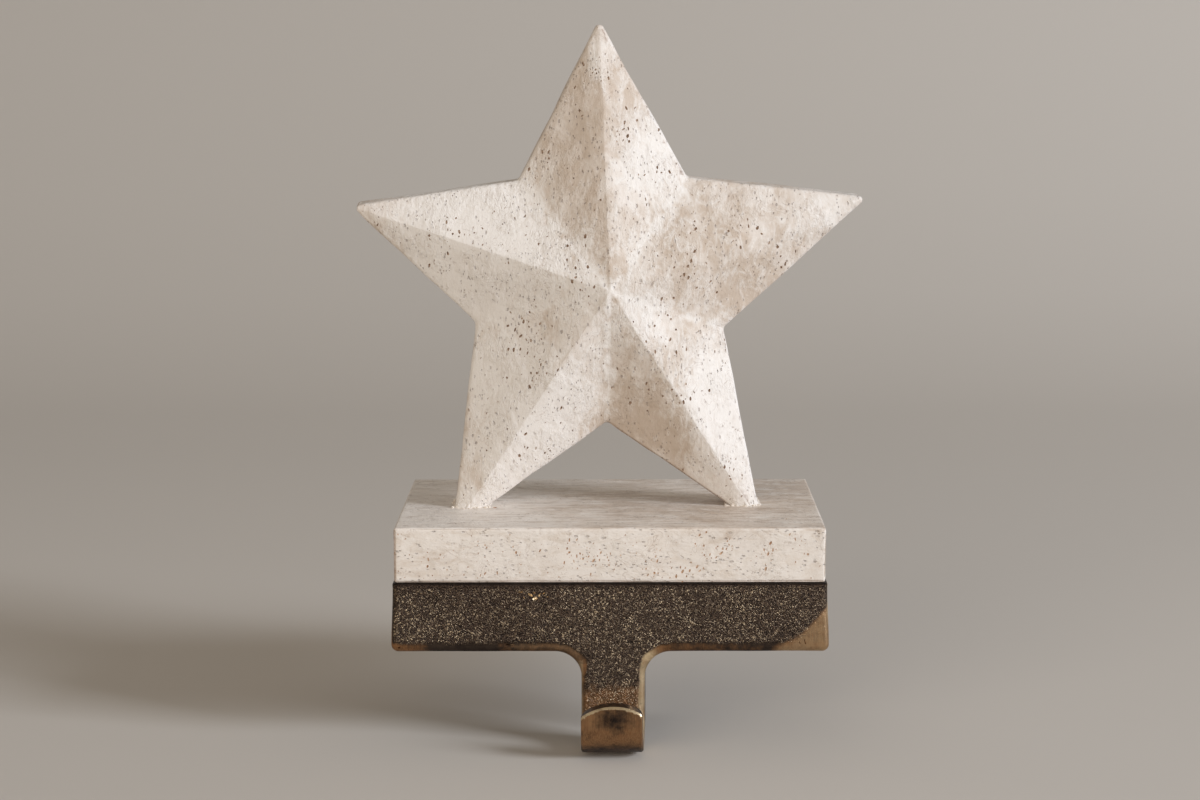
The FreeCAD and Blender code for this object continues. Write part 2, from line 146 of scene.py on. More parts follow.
def slice_evenly(shape, axis, step):
    """Cuts a shape by parallel planes, so that its flat faces can be worked."""
    direction = Vector((0, 0, 0))
    direction[axis] = 1.0
    levels = [vert.co[axis] for vert in shape.verts]
    low, high = min(levels), max(levels)
    count = int((high - low) / step)
    for index in range(1, count + 1):
        slice_flat(shape, direction * (low + (high - low) * index / (count + 1)), direction)


def worked_copy(node, steps, depths=()):
    """A CAD node's mesh cut at a step along each axis, and by upright planes at some depths."""
    shape = cad_copy(node)
    for axis, step in steps.items():
        slice_evenly(shape, "XYZ".index(axis), step)
    for depth in depths:
        slice_flat(shape, FRONT * -depth * MM, FRONT)
    bmesh.ops.triangulate(shape, faces=shape.faces)
    shape.normal_update()
    return shape


def finish_mesh(shape, name, materials):
    """Turns a bmesh into an object at the origin, smooth but for its sharp edges."""
    bmesh.ops.triangulate(shape, faces=[face for face in shape.faces if len(face.verts) > 4])
    mesh = bpy.data.meshes.new(name)
    shape.to_mesh(mesh)
    shape.free()
    for material in materials:
        mesh.materials.append(material)
    piece = bpy.data.objects.new(name, mesh)
    bpy.context.scene.collection.objects.link(piece)
    mark_sharp(piece)
    return piece


def mark_sharp(piece):
    """Shades a piece smooth, with a hard line only where its faces meet steeply."""
    shape = bmesh.new()
    shape.from_mesh(piece.data)
    for face in shape.faces:
        face.smooth = True
    for edge in shape.edges:
        edge.smooth = len(edge.link_faces) == 2 and edge.calc_face_angle(0.0) < SHARP_EDGE
    shape.to_mesh(piece.data)
    shape.free()


def add_lump(shape, matrix, grain, height, subdivisions=1):
    """Adds a ball with an uneven surface, its lumps of the given grain and height."""
    made = bmesh.ops.create_icosphere(
        shape, subdivisions=subdivisions, radius=1.0, matrix=matrix)
    for vert in made["verts"]:
        vert.co += Vector(noise.noise_vector(vert.co / grain)) * height


def paint(piece, **shades):
    """Stores named values from 0 to 1 at each vertex, worked out from its place and normal."""
    for name, shade in shades.items():
        layer = piece.data.attributes.new(name, "FLOAT", "POINT")
        for vert, entry in zip(piece.data.vertices, layer.data):
            entry.value = max(0.0, min(1.0, shade(vert.co / MM, vert.normal)))


def smooth_step(low, high, number):
    """0 up to low, 1 from high on, and a smooth rise between them. Low may be the greater one."""
    part = max(0.0, min(1.0, (number - low) / (high - low)))
    return part * part * (3 - 2 * part)


def waver(place, size_mm, seed=0):
    """Smooth noise from about -1 to 1 at a place in millimetres."""
    return noise.noise(place / size_mm + Vector((seed, seed * 0.7, seed * 1.3)))


def soft_spots(spots, ground, place):
    """A level that rises from the ground near each spot, given as (x, z, reach, strength)."""
    return ground + sum(
        strength * math.exp(-(math.hypot(place.x - across, place.z - up) / reach) ** 2)
        for across, up, reach, strength in spots)


# Open pits in the stone. A large one is round enough to need more faces.

LONGEST_REACH = 0.8 * MM
LARGE_PIT = 0.34 * MM


def pit_matrix(place, normal, along, radius, stretch, depth):
    """Puts a squashed ball in a surface, its length along the bedding."""
    length = along - normal * along.dot(normal)
    if length.length < 0.1:
        length = normal.orthogonal()
    length.normalize()
    width = normal.cross(length)
    turn = Matrix((length, width, normal)).transposed().to_4x4()
    size = Matrix.Diagonal((radius * stretch, radius, depth, 1.0))
    return Matrix.Translation(place) @ turn @ size


def scatter_pits(piece, rng, count, smallest, largest, keep):
    """Random pits all over a piece, many more small ones than large ones."""
    mesh = piece.data
    mesh.calc_loop_triangles()
    triangles = list(mesh.loop_triangles)
    weights = [triangle.area for triangle in triangles]
    pits = []
    for triangle in rng.choices(triangles, weights=weights, k=count):
        corners = [mesh.vertices[index].co for index in triangle.vertices]
        first, second = sorted((rng.random(), rng.random()))
        place = corners[0] * first + corners[1] * (second - first) + corners[2] * (1 - second)
        crowd = smooth_step(-0.28, 0.42, waver(place / MM, 9, 6) + 0.5 * waver(place / MM, 3.5))
        if keep(place / MM, triangle.normal) and rng.random() < 0.15 + crowd:
            pits.append((place, triangle.normal.copy(), smallest * (largest / smallest)
                         ** (rng.random() ** 2.4)))
    return pits


def cluster_pits(piece, rng, clusters, smallest, largest):
    """Pits gathered round places on the front, each given as (x, z, spread, count) in mm."""
    tree = BVHTree.FromObject(piece, bpy.context.evaluated_depsgraph_get())
    pits = []
    for across, up, spread, count in clusters:
        for _ in range(count):
            start = Vector((rng.gauss(across, spread) * MM, -0.2, rng.gauss(up, spread) * MM))
            place, normal, _, _ = tree.ray_cast(start, -FRONT)
            if place is not None:
                pits.append((place, normal, smallest * (largest / smallest)
                             ** (rng.random() ** 1.1)))
    return pits


def cut_pits(piece, pits, rng, along, depths, pit_material):
    """Cuts the pits that don't touch each other, each as deep as a share of its half width."""
    cutter_shape = bmesh.new()
    near = {}
    cell = 2 * LONGEST_REACH
    for place, normal, radius in sorted(pits, key=lambda pit: -pit[2]):
        stretch = rng.uniform(1.0, 1.4) if rng.random() < 0.4 else rng.uniform(1.4, 3.0)
        reach = min(radius * stretch, LONGEST_REACH)
        key = tuple(int(part // cell) for part in place)
        around = [near.get((key[0] + i, key[1] + j, key[2] + k), ())
                  for i in (-1, 0, 1) for j in (-1, 0, 1) for k in (-1, 0, 1)]
        if any((place - other).length < reach + far for group in around for other, far in group):
            continue
        near.setdefault(key, []).append((place, reach))
        lean = Vector([rng.uniform(-0.6, 0.6) for _ in range(3)])
        matrix = pit_matrix(place, normal, along + lean, radius, reach / radius,
                            radius * rng.uniform(*depths))
        add_lump(cutter_shape, matrix, 0.5 * MM, radius * 0.4, 2 if radius > LARGE_PIT else 1)
    cutter = finish_mesh(cutter_shape, piece.name + "_cutter", [pit_material])
    cut(piece, cutter, pit_material)


def cut(piece, cutter, inner_material):
    """Takes the cutter out of the piece for good."""
    if inner_material.name not in piece.data.materials:
        piece.data.materials.append(inner_material)
    modifier = piece.modifiers.new("cut", "BOOLEAN")
    modifier.object = cutter
    modifier.operation = "DIFFERENCE"
    modifier.solver = "MANIFOLD"
    modifier.material_mode = "TRANSFER"
    result = bpy.data.meshes.new_from_object(
        piece.evaluated_get(bpy.context.evaluated_depsgraph_get()))
    piece.modifiers.clear()
    old = piece.data
    piece.data = result
    bpy.data.meshes.remove(old)
    bpy.data.objects.remove(cutter)
    mark_sharp(piece)


# Materials. Each Mapping node turns metres into millimetres, so a pattern's Scale is 1 / its size.

def travertine(name, bedding, colours, honed=0.0):
    """Honed travertine: sawn from limestone that water laid down in layers, then rubbed smooth.

    The eye sees cream and tan clouds, thin lines along the bedding, ring-shaped traces, chalky
    white where the rubbing has bruised it, small torn dents, and patches of fine open pores.
    """
    material, tree, surface, place = new_material(name)
    cream, tan, white, brown = (linear(code) for code in colours)
    even, porous, laid, drawn = (
        add(tree, TURN, {"Vector": place, "Scale": tuple(
            1 / (MM * (stretch if axis == bedding else 1.0)) for axis in "XYZ")})
        for stretch in (1.0, 2.0, 2.2, 7.0))
    # The rim layer is painted shade on walls and edges that face away from the light
    pale, sawn, rim = (
        add(tree, PAINTED, output="Fac", attribute_name=layer) for layer in ("pale", "sawn", "rim"))

    # Patterns: the space they lie in, their size in mm, detail, roughness and distortion
    broad, small, chalk, stains, rings, rings_shown, lines, dents, dents_shown, grit = (
        add(tree, NOISE, {"Vector": space, "Scale": 1 / size, "Detail": detail,
                          "Roughness": rough, "Distortion": twist})
        for space, size, detail, rough, twist in (
            (laid, 19, 4, 0.60, 0.5), (laid, 5.5, 5, 0.68, 0.8),
            (laid, 4, 5, 0.70, 1), (laid, 7.5, 5, 0.70, 0.9),
            (even, 10, 2, 0.50, 1.5), (even, 8, 2, 0.50, 0),
            (drawn, 2.2, 4, 0.70, 0.2), (porous, 1.1, 3, 0.66, 0.4),
            (even, 13, 3, 0.50, 0), (even, 0.45, 2, 0.60, 0)))

    cloudy = add(tree, MATH, {0: small, 1: 0.55, 2: broad}, operation="MULTIPLY_ADD")
    cloudy = add(tree, MATH, {0: pale, 1: 0.30, 2: cloudy}, operation="MULTIPLY_ADD")
    chalky = add(tree, MATH, {0: pale, 1: 0.4, 2: chalk}, operation="MULTIPLY_ADD")

    # How much each pattern shows: the pattern, where it starts and ends, and its two strengths
    clouds, bruises, stained, ringed, striped, dashed, worked, hollow, dull = (
        add(tree, RANGE, {"Value": source, "From Min": low, "From Max": high,
                          "To Min": start, "To Max": end}, **SMOOTH)
        for source, low, high, start, end in (
            (cloudy, 0.74, 1.03, 0.0, 1.0), (chalky, 0.58, 0.84, 0.0, 0.65),
            (stains, 0.55, 0.72, 0.0, 0.20), (rings_shown, 0.47, 0.60, 0.0, 1.0),
            (lines, 0.52, 0.63, 0.0, 0.38), (lines, 0.46, 0.37, 0.0, 0.60),
            (dents_shown, 0.40, 0.60, 0.35, 1.0), (dents, 0.44, 0.32, 0.0, 0.24),
            (dents, 0.30, 0.70, 0.78, 0.60)))
    # The dents are darkened brown: partly dirt, partly painted shade
    dirt_and_shade_in_dents, stripes, dashes = (
        add(tree, MATH, {0: first, 1: second}, operation="MULTIPLY")
        for first, second in ((hollow, worked), (striped, sawn), (dashed, sawn)))

    # Colours, each laid over the ones before: how much it shows, and the colour
    layers = [
        (clouds, cream), (bruises, white), (stained, brown), (stripes, brown), (dashes, white),
        (dirt_and_shade_in_dents, brown),
    ]

    # Thin wandering rings, where the growth layers are cut across
    for height, strength in ((0.46, 0.38), (0.53, 0.30), (0.60, 0.42)):
        gap = add(tree, MATH, {0: rings, 1: height}, operation="SUBTRACT")
        near = add(tree, MATH, {0: gap}, operation="ABSOLUTE")
        line = add(tree, RANGE, {"Value": near, "From Max": 0.011, "To Min": strength,
                                 "To Max": 0.0}, **SMOOTH)
        layers.append((add(tree, MATH, {0: line, 1: ringed}, operation="MULTIPLY"), brown))

    # Pores too small to cut: specks of two sizes, gathered in patches
    pores = None
    for size, low, high, patch in ((1.15, 0.13, 0.22, 6.0), (2.3, 0.10, 0.17, 11.0)):
        cells = add(tree, CELLS, {"Vector": porous, "Scale": 1 / size, "Randomness": 1.0},
                    output="Distance")
        ragged = add(tree, MATH, {0: grit, 1: 0.25, 2: cells}, operation="MULTIPLY_ADD")
        dots = add(tree, RANGE, {"Value": ragged, "From Min": low + 0.125, "From Max": high + 0.125,
                                 "To Min": 1.0, "To Max": 0.0}, **SMOOTH)
        gathered = add(tree, NOISE, {"Vector": laid, "Scale": 1 / patch, "Detail": 3.0})
        shown = add(tree, RANGE, {"Value": gathered, "From Min": 0.42, "From Max": 0.60},
                    **SMOOTH)
        patches = add(tree, MATH, {0: dots, 1: shown}, operation="MULTIPLY")
        pores = patches if pores is None else add(
            tree, MATH, {0: pores, 1: patches}, operation="MAXIMUM")
    pore_shade = add(tree, MATH, {0: pores, 1: 0.42 * (1 - 0.3 * honed)}, operation="MULTIPLY")
    layers.append((pore_shade, linear("80634E")))

    # Painted shade: a brown rim where walls face away from the light, and a darker slab foot
    uneven = add(tree, RANGE, {"Value": dents, "From Min": 0.35, "From Max": 0.6,
                               "To Min": 0.45, "To Max": 0.85}, **SMOOTH)
    painted_rim_shade = add(tree, MATH, {0: rim, 1: uneven}, operation="MULTIPLY")
    layers.append((painted_rim_shade, linear("8A6750")))

    colour = tan
    for shown, shade in layers:
        colour = add(tree, MIX, {FACTOR: shown, UNDER: colour, OVER: shade}, MIXED,
                     data_type="RGBA")

    # Rubbing leaves the worked patches a little proud, with the dents in them
    relief = add(tree, MATH, {0: chalk, 1: 0.9, 2: dents}, operation="MULTIPLY_ADD")
    relief = add(tree, MATH, {0: relief, 1: 0.27}, operation="ADD")
    relief = add(tree, MATH, {0: relief, 1: worked}, operation="MULTIPLY")
    relief = add(tree, MATH, {0: relief, 1: 0.85 * (1 - 0.7 * honed)}, operation="MULTIPLY")
    relief = add(tree, MATH, {0: grit, 1: 0.12, 2: relief}, operation="MULTIPLY_ADD")
    relief = add(tree, MATH, {0: pores, 1: -0.8, 2: relief}, operation="MULTIPLY_ADD")
    bump = add(tree, BUMP, {"Strength": 1.0, "Distance": 0.5 * MM, "Height": relief})
    rough = add(tree, MATH, {0: sawn, 1: -0.30, 2: dull}, operation="MULTIPLY_ADD")
    fill(tree, surface, {"Base Color": colour, "Roughness": rough, "Normal": bump, "IOR": 1.5})
    return material


def one_grain(name, grain, shades, gloss, relief, shown=(0.0, 1.0), wide=1.0, **finish):
    """A material whose colour, roughness and relief all follow one grain.

    The grain is its size in mm, detail and roughness, and the relief its depth in mm and strength.
    A wide grain is drawn out sideways.
    """
    material, tree, surface, place = new_material(name)
    even = add(tree, TURN, {"Vector": place,
                            "Scale": (1 / (wide * MM), 1 / (wide * MM), 1 / MM)})
    size, detail, coarse = grain
    lumps = add(tree, NOISE, {"Vector": even, "Scale": 1 / size, "Detail": detail,
                              "Roughness": coarse})
    shade, rough = (
        add(tree, RANGE, {"Value": lumps, "From Min": low, "From Max": high, "To Min": start,
                          "To Max": end})
        for (low, high), (start, end) in ((shown, (0.0, 1.0)), ((0.3, 0.7), gloss)))
    colour = add(tree, MIX, {FACTOR: shade, UNDER: linear(shades[0]), OVER: linear(shades[1])},
                 MIXED, data_type="RGBA")
    depth, strength = relief
    bump = add(tree, BUMP, {"Strength": strength, "Distance": depth * MM, "Height": lumps})
    fill(tree, surface, {"Base Color": colour, "Roughness": rough, "Normal": bump, **finish})
    return material


def pit_wall(name, shaded, lit):
    """Raw travertine inside a pit: never rubbed, so it is crumbly, dull and stained brown."""
    return one_grain(name, (0.5, 4.0, 0.7), (shaded, lit), (0.95, 0.80), (0.25, 0.8),
                     shown=(0.35, 0.65), IOR=1.5)


def stone_filler():
    """Pale polyester filler pressed round the feet, then scraped while half set: chalky lumps."""
    return one_grain("stone_filler_scraped", (0.7, 3.0, 0.5), ("D9CBBB", "F3ECE2"), (0.75, 0.55),
                     (0.20, 0.6), IOR=1.5)


def nicked_brass():
    """Fresh brass where a knock has gone through the patina: bright, pale and a little torn."""
    return one_grain("brass_nicked", (0.4, 3.0, 0.5), ("D9BC8C", "FFF6E4"), (0.45, 0.28),
                     (0.15, 0.7), Metallic=1.0)


def turned_metal(name, dark, light):
    """Metal turned on a lathe: fine rings round the upright axis catch the light in bands."""
    return one_grain(name, (0.25, 2.0, 0.5), (dark, light), (0.42, 0.28), (0.05, 0.4), wide=6.0,
                     Metallic=1.0)


def antique_brass():
    """Sand-cast brass, blackened with a brown patina, then filed and rubbed along its edges.

    The eye sees a dark wrinkled skin with short gold glints on it, and smooth warm metal where
    the file and the brush have been. The glints and the brightest edge lines are partly painted
    highlights.
    """
    material, tree, surface, place = new_material("antique_brass_sand_cast")
    even, brushed = (
        add(tree, TURN, {"Vector": place, "Scale": (1 / MM, 1 / MM, 1 / (MM * stretch))})
        for stretch in (1, 26))
    patina, cast, rubbed, polish = (
        add(tree, PAINTED, output="Fac", attribute_name=layer)
        for layer in ("patina", "cast", "rubbed", "polish"))

    # Patterns: space, size in mm, detail, roughness and distortion. The brush strokes are too fine
    # to see singly, so they are drawn about three times coarser.
    breakup, wrinkles, gaps, crowds, strokes, soot, tint = (
        add(tree, NOISE, {"Vector": space, "Scale": 1 / size, "Detail": detail,
                          "Roughness": rough, "Distortion": twist})
        for space, size, detail, rough, twist in (
            (even, 2.2, 5.0, 0.70, 0.0), (even, 0.54, 2.0, 0.60, 1.0), (even, 1.3, 3.0, 0.50, 0.0),
            (even, 7.0, 4.0, 0.70, 0.0), (brushed, 0.30, 4.0, 0.65, 0.0),
            (even, 3.5, 5.0, 0.70, 0.0), (even, 4.0, 3.0, 0.50, 0.0)))
    left = add(tree, MATH, {0: breakup, 1: 0.9, 2: patina}, operation="MULTIPLY_ADD")

    # Where each pattern shows: the pattern, where it starts and ends, and its two strengths
    skin, crests, lifted, broken, crowded, sooty, tinted, brushing, worn_bright, hollow = (
        add(tree, RANGE, {"Value": source, "From Min": low, "From Max": high,
                          "To Min": start, "To Max": end}, **SMOOTH)
        for source, low, high, start, end in (
            (left, 0.60, 1.30, 0.0, 1.0), (wrinkles, 0.55, 0.63, 0.0, 1.0),
            (wrinkles, 0.44, 0.58, 0.0, 0.55), (gaps, 0.40, 0.56, 0.0, 1.0),
            (crowds, 0.32, 0.64, 0.45, 1.35), (soot, 0.35, 0.65, 0.0, 1.0),
            (tint, 0.35, 0.65, 0.0, 1.0),
            (strokes, 0.35, 0.68, 0.0, 0.7), (breakup, 0.25, 0.60, 0.5, 1.0),
            (wrinkles, 0.50, 0.38, 0.0, 0.5)))

    # Painted highlights: the mould's wrinkle crests glint in short broken lines, partly rubbed
    # through
    glints = cast
    for part in (crests, broken, crowded, rubbed):
        glints = add(tree, MATH, {0: glints, 1: part}, operation="MULTIPLY")
    # The polish layer is partly painted highlight on edges that face the light
    polished, sheltered, shoulders, hazed = (
        add(tree, MATH, {0: first, 1: second}, operation="MULTIPLY")
        for first, second in (
            (polish, worn_bright), (hollow, cast), (lifted, cast), (rubbed, 0.16)))

    black = add(tree, MIX, {FACTOR: sooty, UNDER: linear("272120"), OVER: linear("3C332E")},
                MIXED, data_type="RGBA")
    for shown, shade in ((hazed, "857567"), (shoulders, "6B5848"), (sheltered, "15110F")):
        black = add(tree, MIX, {FACTOR: shown, UNDER: black, OVER: linear(shade)}, MIXED,
                    data_type="RGBA")
    colour = linear("74523A")
    for shown, shade in ((tinted, linear("946A49")), (brushing, linear("B28A62")),
                         (polished, linear("F3DDB6")), (skin, black), (glints, linear("D6C0A0"))):
        colour = add(tree, MIX, {FACTOR: shown, UNDER: colour, OVER: shade}, MIXED,
                     data_type="RGBA")

    relief = add(tree, MATH, {0: wrinkles, 1: cast}, operation="MULTIPLY")
    relief = add(tree, MATH, {0: strokes, 1: 0.05, 2: relief}, operation="MULTIPLY_ADD")
    bump = add(tree, BUMP, {"Strength": 0.9, "Distance": 0.55 * MM, "Height": relief})
    rough = add(tree, MATH, {0: skin, 1: 0.12, 2: 0.32}, operation="MULTIPLY_ADD")
    fill(tree, surface, {"Base Color": colour, "Roughness": rough, "Normal": bump,
                         "Metallic": 1.0})
    return material


def pressed_felt(colour):
    """Pressed wool felt: a dull mat of short crossed fibres with a soft nap.

    Wool fibres are about 0.03 mm thick, so they are drawn as tufts ten times coarser.
    """
    material, tree, surface, place = new_material("wool_felt_pressed")
    fibres, crossed = (
        add(tree, NOISE, {"Vector": add(tree, TURN, {
            "Vector": place, "Rotation": (0, 0, turn),
            "Scale": (1 / (across * MM), 1 / (along * MM), 1 / MM)}),
            "Scale": 1 / 0.4, "Detail": 4.0, "Roughness": 0.7})
        for across, along, turn in ((1, 5, 0.6), (5, 1, 0.3)))
    mat = add(tree, MATH, {0: fibres, 1: crossed}, operation="MAXIMUM")
    raised = add(tree, RANGE, {"Value": mat, "From Min": 0.4, "From Max": 0.75})
    shade = add(tree, MIX, {FACTOR: raised, UNDER: tuple(c * 0.6 for c in colour) + (1,),
                            OVER: tuple(colour) + (1,)}, MIXED, data_type="RGBA")
    rough = add(tree, RANGE, {"Value": mat, "From Min": 0.4, "From Max": 0.75,
                              "To Min": 1.0, "To Max": 0.88})
    bump = add(tree, BUMP, {"Strength": 0.8, "Distance": 0.3 * MM, "Height": mat})
    fill(tree, surface, {"Base Color": shade, "Roughness": rough, "Normal": bump,
                         "Sheen Weight": 0.3})
    return material


# Settings that a user would change

Length = partial(FloatProperty, unit="LENGTH", precision=5)


class StoneSettings(bpy.types.PropertyGroup):
    star_pits: IntProperty(
        name="Star pits", description="Pits scattered over the star", default=1600, min=0)
    slab_pits: IntProperty(
        name="Slab pits", description="Pits scattered over the slab", default=640, min=0)
    smallest_pit: Length(
        name="Smallest pit", description="Half width of the smallest pit",
        default=0.14 * MM, min=0.05 * MM)
    largest_pit: Length(
        name="Largest pit", description="Half width of the largest pit",
        default=0.52 * MM, min=0.1 * MM)
    unevenness: Length(
        name="Unevenness", description="How deep hand rubbing has worn into the star",
        default=0.5 * MM, min=0.0)
    working_grid: Length(
        name="Working grid", description="Spacing of the cuts that let flat faces be worked",
        default=1.6 * MM, min=0.5 * MM)


class BrassSettings(bpy.types.PropertyGroup):
    cast_unevenness: Length(
        name="Cast unevenness", description="How far the casting falls short of true",
        default=0.22 * MM, min=0.0)
    working_grid: Length(
        name="Working grid", description="Spacing of the cuts that let flat faces be worked",
        default=0.8 * MM, min=0.4 * MM)
    end_lean: Length(
        name="End lean", description="How far each end of the casting leans in at the top",
        default=0.8 * MM, min=0.0)


class FeltSettings(bpy.types.PropertyGroup):
    colour: FloatVectorProperty(
        name="Felt colour", description="Colour of the felt pad",
        default=linear("4A3D33")[:3], size=3, subtype="COLOR", min=0.0, max=1.0)


class StudioSettings(bpy.types.PropertyGroup):
    floor_colour: FloatVectorProperty(
        name="Floor colour", description="Colour of the studio floor",
        default=linear("CCC5BC")[:3], size=3, subtype="COLOR", min=0.0, max=1.0)
    floor_gap: Length(
        name="Floor gap", description="Height of the hook's foot over the floor",
        default=1.0 * MM, min=0.0)
    sweep_start: Length(
        name="Sweep start", description="How far back the floor starts to curve up",
        default=0.7, min=0.0)
    air: FloatProperty(
        name="Air", description="Strength of the even light from all round", default=0.27, min=0.0)
    key: FloatProperty(
        name="Key", description="Power of the light on the right", default=84.0, min=0.0,
        unit="POWER")
    fill: FloatProperty(
        name="Fill", description="Power of the light in front", default=13.0, min=0.0,
        unit="POWER")
    lens: FloatProperty(
        name="Lens", description="Focal length of the camera in millimetres",
        default=72.27, min=10.0, unit="CAMERA")


# Star

# Corners of the outline and the peak, as (x, z) in millimetres. The lower tips are cut off flat at
# the height of the feet.
PEAK = (-0.4, 105.9)
TIPS = ((-3.2, 197.7), (90.6, 136.7), (55.4, 17), (-57.3, 17), (-89.7, 134.4))
VALLEYS = ((28.1, 144.8), (41.5, 90.5), (-0.8, 56.3), (-47.9, 93), (-32, 143.8))
FOOT_LEVEL = 26.0

# Places where the photo shows more and larger pits, as (x, z, spread, count)
STAR_CLUSTERS = [
    (45, 125, 2.6, 14), (29, 126, 1.6, 12), (27, 112, 2.6, 12), (21, 98, 2, 8),
    (-31, 94, 3.2, 18), (-29, 84, 3.6, 14), (-25, 76, 3.2, 12), (-9, 108, 3, 14),
    (-19, 154, 2.8, 12), (-4, 182, 3, 14), (5, 160, 2.4, 12), (16, 146, 3.4, 12),
    (22, 88, 3.2, 12), (9, 70, 3.4, 14), (27, 66, 3, 12), (-20, 48, 3.6, 10),
    (-30, 46, 2.8, 9), (42, 40, 2.8, 8), (-56, 128, 3.6, 9), (-38, 130, 4, 10),
    (62, 118, 3.6, 8), (-12, 120, 3.6, 10),
]

# Paler and, below zero, browner places in the block, as (x, z, reach, strength)
# Some lie on single facets as painted light and shade, over the block's own tone
STAR_CLOUDS_AND_FACET_LIGHT = [
    (-44, 134, 22, 0.85), (-14, 108, 14, 0.35), (40, 66, 18, 0.75),
    (50, 44, 14, 0.6), (-22, 62, 15, 1), (14, 152, 16, 0.6),
    (10, 96, 12, 0.35), (82, 132, 12, 0.4), (-38, 74, 14, 0.9),
    (-34, 42, 12, 1), (-50, 110, 16, 0.9), (-66, 128, 12, 0.4),
    (-13, 152, 20, -0.5), (14, 56, 15, -0.45),
]


def line_gap(place, corners):
    """Distance in mm, seen from the front, from the nearest line between peak and corner."""
    gaps = []
    step = Vector((place.x - PEAK[0], place.z - PEAK[1]))
    for across, up in corners:
        run = Vector((across - PEAK[0], up - PEAK[1]))
        part = max(0.0, min(1.0, step.dot(run) / run.dot(run)))
        gaps.append((step - run * part).length)
    return min(gaps)


def on_facets(place):
    """1 on the carved front, 0 on the walls and the back."""
    return smooth_step(-7, -9, place.y)


def star_pale(place, normal):
    """Paler in the clouds, partly painted facet light and shade, on the feet, and along the
    valleys.
    """
    # A paler band along the valleys
    valley_band = math.exp(-line_gap(place, VALLEYS) ** 2) * (0.35 + waver(place, 4, 8))
    foot = 0.9 * smooth_step(FOOT_LEVEL + 10.0, FOOT_LEVEL + 1.0, place.z)
    return soft_spots(STAR_CLOUDS_AND_FACET_LIGHT, 0.35, place) + valley_band * on_facets(place) + foot


def star_rim(place, normal):
    """Painted shade: brown on the walls that face left and down, away from the light, and at their
    front edge.
    """
    side = smooth_step(0.25, 0.7, -normal.x * 0.8 - normal.z * 0.55 - 0.15)
    return side * smooth_step(-9.2, -7.6, place.y)


class HOLDER_OT_star(bpy.types.Operator):
    """Builds the rubbed travertine star, with its open pits"""
    bl_idname = "holder.star"
    bl_label = "Star"

    def execute(self, context):
        settings = context.scene.holder_stone
        rng = random.Random(11)
        shape = worked_copy("star", dict.fromkeys("XZ", settings.working_grid))
        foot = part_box("star")[0][2]
        for vert in shape.verts:
            place = vert.co / MM
            if vert.co.z < foot + 0.2 * MM:
                continue
            wear = 0.5 + 0.55 * waver(place, 19, 3) + 0.25 * waver(place, 6.5, 9)
            ridge, valley = (line_gap(place, corners) for corners in (TIPS, VALLEYS))
            worn = math.exp(-(ridge / 2.4) ** 2) * (0.35 + 0.3 * waver(place, 11, 2))
            filled = math.exp(-(valley / 2.0) ** 2) * 0.4
            carved = (worn - filled) * on_facets(place) * MM
            vert.co -= vert.normal * (settings.unevenness * max(wear, 0.05) + carved)
        shape.normal_update()
        stone = travertine("travertine_rubbed", "Z", ("E5DBD1", "CBBAA9", "F1ECE6", "A28C7A"))
        wall = pit_wall("travertine_pit_wall", "735541", "D0B8A2")
        star = finish_mesh(shape, "carved_star", [stone])
        pits = cluster_pits(star, rng, STAR_CLUSTERS, settings.smallest_pit, settings.largest_pit)
        pits += scatter_pits(
            star, rng, settings.star_pits, settings.smallest_pit, settings.largest_pit * 0.85,
            lambda place, normal: place.z > FOOT_LEVEL + 1.5)
        cut_pits(star, pits, rng, Vector((0.1, 0.0, 1.0)), (0.7, 1.4), wall)
        # The pale layer is partly painted light and shade on single facets; the rim layer is
        # painted shade
        paint(star, pale=star_pale, rim=star_rim, sawn=lambda place, normal: 0.0)
        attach(star, "root")
        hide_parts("star")
        return {"FINISHED"}


# Slab

# The same for the slab: its groups of pits and its paler places
SLAB_CLUSTERS = [
    (-13, 16.5, 2.4, 26), (-6, 15, 2.2, 20), (34, 20, 2.6, 18), (40, 18, 2.2, 14),
    (18, 8.6, 3.4, 20), (27, 9, 2.4, 12), (55, 17.5, 2.2, 12), (-60, 16, 4, 10),
    (-30, 19, 4, 9), (8, 20, 6, 12), (66, 18, 3, 6), (-45, 20, 5, 10),
]
SLAB_CLOUDS = [(-35, 14, 30, 0.40), (10, 18, 20, 0.25), (60, 12, 22, 0.35)]


